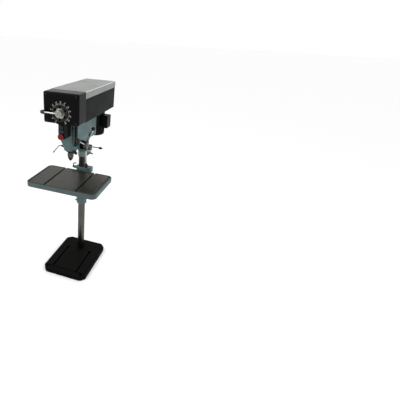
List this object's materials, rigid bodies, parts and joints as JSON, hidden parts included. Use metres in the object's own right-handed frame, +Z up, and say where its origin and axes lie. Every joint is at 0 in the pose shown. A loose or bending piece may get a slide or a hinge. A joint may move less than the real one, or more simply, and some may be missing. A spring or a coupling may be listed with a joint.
{
  "type": "drill press",
  "caption": "Floor-standing drill press with a column, a T-slotted table, a belt guard with a hinged lid, a speed dial, a handled quill feed and a keyed chuck.",
  "frame": {"origin": "on the floor at the middle of the four holes that bolt the base down", "axes": "+Z up along the column, -Y towards the operator at the front, +X to the operator's right"},
  "size_m": [0.65, 0.9041, 1.74],
  "materials": {
    "machine_grey_dark": "dark grey machine enamel, worn at the edges",
    "grey_paint": "blue-grey machine enamel",
    "light_grey_paint": "pale grey enamel",
    "dark_sheet": "dark green-grey enamel on sheet",
    "black_paint": "black enamel",
    "light_sheet": "pale grey enamel on sheet",
    "machined_iron": "ground iron work face",
    "ground_steel": "ground",
    "bright_steel": "bright",
    "black_steel": "blackened",
    "bearing_steel": "polished",
    "spring_steel": "blued",
    "hub_steel": "dark polished",
    "chrome": "polished",
    "laminations": "stacked laminations",
    "cast_aluminium": "turned",
    "black_rubber": "matt",
    "black_plastic": "moulded",
    "black_phenolic": "moulded",
    "red_plastic": "moulded",
    "teal_plastic": "moulded",
    "lamp_plastic": "moulded",
    "dial_face": "black with pale markings"
  },
  "bodies": {
    "stand": {"base": "machine_grey_dark", "column": "ground_steel", "set_screws": "black_steel", "head_collar": "light_grey_paint"},
    "table_collar_body": {"table_collar": "grey_paint", "table_collar_screw": "black_steel"},
    "table_body": {"table_bracket": "grey_paint", "table_top": "machined_iron", "table_bolts": "black_steel"},
    "table_clamp_body": {"table_clamp_handle": "black_steel"},
    "head": {"head_casting": "grey_paint", "spring_housing": "black_paint", "return_spring": "spring_steel", "sleeve_bearings": "bearing_steel", "motor_shell": "black_paint", "motor_end_bells": "black_paint", "motor_stator": "laminations", "motor_bearings": "bearing_steel", "motor_plate": "grey_paint", "motor_bolts": "black_steel", "motor_terminal_box": "black_paint", "cord_bushing": "black_rubber", "drive_belt": "black_rubber", "guard_tray": "dark_sheet", "guard_shell": "dark_sheet", "lid_hinge_pin": "ground_steel", "front_bezel": "black_paint", "bezel_screws": "bright_steel", "speed_scale_ring": "dial_face", "switch_box": "black_plastic", "pilot_lamp": "lamp_plastic"},
    "head_clamp_body": {"head_clamp_lever": "black_steel"},
    "quill_lock_body": {"quill_lock_lever": "black_steel"},
    "quill_body": {"quill": "ground_steel", "quill_bearings": "bearing_steel", "stop_collar": "black_steel", "depth_rod": "bright_steel"},
    "depth_nut_body": {"depth_nuts": "bright_steel"},
    "feed_body": {"feed_pinion_shaft": "ground_steel", "feed_hub": "hub_steel", "feed_handle_rods": "bright_steel", "feed_knobs": "black_phenolic"},
    "spindle_body": {"spindle": "ground_steel", "chuck_body": "chrome"},
    "chuck_sleeve_body": {"chuck_sleeve": "chrome"},
    "jaw_1_body": {"chuck_jaw_1": "black_steel"},
    "jaw_2_body": {"chuck_jaw_2": "black_steel"},
    "jaw_3_body": {"chuck_jaw_3": "black_steel"},
    "drive_body": {"drive_sleeve": "ground_steel", "spindle_sheave_lower": "cast_aluminium", "spindle_sheave_upper": "cast_aluminium"},
    "rotor_body": {"motor_rotor": "laminations", "motor_sheave_lower": "cast_aluminium", "motor_sheave_upper": "cast_aluminium", "sheave_spring": "spring_steel"},
    "lid_body": {"guard_lid": "light_sheet"},
    "speed_body": {"speed_dial": "chrome", "speed_crank": "bright_steel"},
    "start_body": {"start_button": "teal_plastic"},
    "stop_body": {"stop_button": "red_plastic"}
  },
  "joints": [
    {"name": "table_lift", "type": "slide", "parent": "stand", "child": "table_collar_body", "axis": [0, 0, 1], "range_m": [-0.52, 0.04]},
    {"name": "table_swing", "type": "hinge", "parent": "table_collar_body", "child": "table_body", "pos_m": [0, 0.136, 0.9], "axis": [0, 0, 1], "range_deg": [-90, 90]},
    {"name": "table_clamp", "type": "hinge", "parent": "table_body", "child": "table_clamp_body", "pos_m": [-0.08, 0.12, 0.984], "axis": [1, 0, 0], "range_deg": [-30, 30]},
    {"name": "head_swing", "type": "hinge", "parent": "stand", "child": "head", "pos_m": [0, 0.136, 1.3], "axis": [0, 0, 1], "range_deg": [-90, 90]},
    {"name": "head_clamp", "type": "hinge", "parent": "head", "child": "head_clamp_body", "pos_m": [0.07, 0.169, 1.19], "axis": [0, 1, 0], "range_deg": [-45, 30]},
    {"name": "quill_lock", "type": "hinge", "parent": "head", "child": "quill_lock_body", "pos_m": [-0.08, -0.124, 1.262], "axis": [1, 0, 0], "range_deg": [-45, 45]},
    {"name": "quill_slide", "type": "slide", "parent": "head", "child": "quill_body", "axis": [0, 0, -1], "range_m": [0, 0.124], "stiffness_N_per_m": 600, "springref_m": -0.2},
    {"name": "depth_nut_slide", "type": "slide", "parent": "quill_body", "child": "depth_nut_body", "axis": [0, 0, 1], "range_m": [-0.12, 0.05]},
    {"name": "feed_turn", "type": "hinge", "parent": "head", "child": "feed_body", "pos_m": [0.12, -0.078, 1.283], "axis": [1, 0, 0], "range_deg": [0, 356]},
    {"name": "spindle_spin", "type": "hinge", "parent": "quill_body", "child": "spindle_body", "pos_m": [0, -0.124, 1.25], "axis": [0, 0, 1], "continuous": true},
    {"name": "chuck_turn", "type": "hinge", "parent": "spindle_body", "child": "chuck_sleeve_body", "pos_m": [0, -0.124, 1.19], "axis": [0, 0, 1], "range_deg": [0, 600]},
    {"name": "drive_sleeve_spin", "type": "hinge", "parent": "head", "child": "drive_body", "pos_m": [0, -0.124, 1.6], "axis": [0, 0, 1], "continuous": true},
    {"name": "motor_spin", "type": "hinge", "parent": "head", "child": "rotor_body", "pos_m": [0, 0.446, 1.4], "axis": [0, 0, 1], "continuous": true},
    {"name": "lid_hinge", "type": "hinge", "parent": "head", "child": "lid_body", "pos_m": [0, 0.5486, 1.687], "axis": [-1, 0, 0], "range_deg": [0, 75]},
    {"name": "speed_turn", "type": "hinge", "parent": "head", "child": "speed_body", "pos_m": [0, -0.32, 1.588], "axis": [0, 1, 0], "range_deg": [0, 270]},
    {"name": "start_push", "type": "slide", "parent": "head", "child": "start_body", "axis": [0, 1, 0], "range_m": [0, 0.004], "stiffness_N_per_m": 800, "springref_m": -0.002},
    {"name": "stop_push", "type": "slide", "parent": "head", "child": "stop_body", "axis": [0, 1, 0], "range_m": [0, 0.004], "stiffness_N_per_m": 800, "springref_m": -0.002},
    {"name": "jaw_1_slide", "type": "slide", "parent": "spindle_body", "child": "jaw_1_body", "axis": [0, 0.2588, 0.9659], "range_m": [0, 0.02], "stiffness_N_per_m": 5, "springref_m": 0.03072},
    {"name": "jaw_2_slide", "type": "slide", "parent": "spindle_body", "child": "jaw_2_body", "axis": [-0.2241, -0.1294, 0.9659], "range_m": [0, 0.02], "stiffness_N_per_m": 5, "springref_m": 0.03072},
    {"name": "jaw_3_slide", "type": "slide", "parent": "spindle_body", "child": "jaw_3_body", "axis": [0.2241, -0.1294, 0.9659], "range_m": [0, 0.02], "stiffness_N_per_m": 5, "springref_m": 0.03072}
  ],
  "couplings": [
    {"joint": "feed_turn", "follows": "quill_slide", "rad_per_m": 50},
    {"joint": "drive_sleeve_spin", "follows": "motor_spin", "ratio": 0.64286},
    {"joint": "spindle_spin", "follows": "motor_spin", "ratio": 0.64286},
    {"joint": "chuck_turn", "follows": "jaw_1_slide", "rad_per_m": 520},
    {"joint": "jaw_2_slide", "follows": "jaw_1_slide", "ratio": 1},
    {"joint": "jaw_3_slide", "follows": "jaw_1_slide", "ratio": 1}
  ]
}
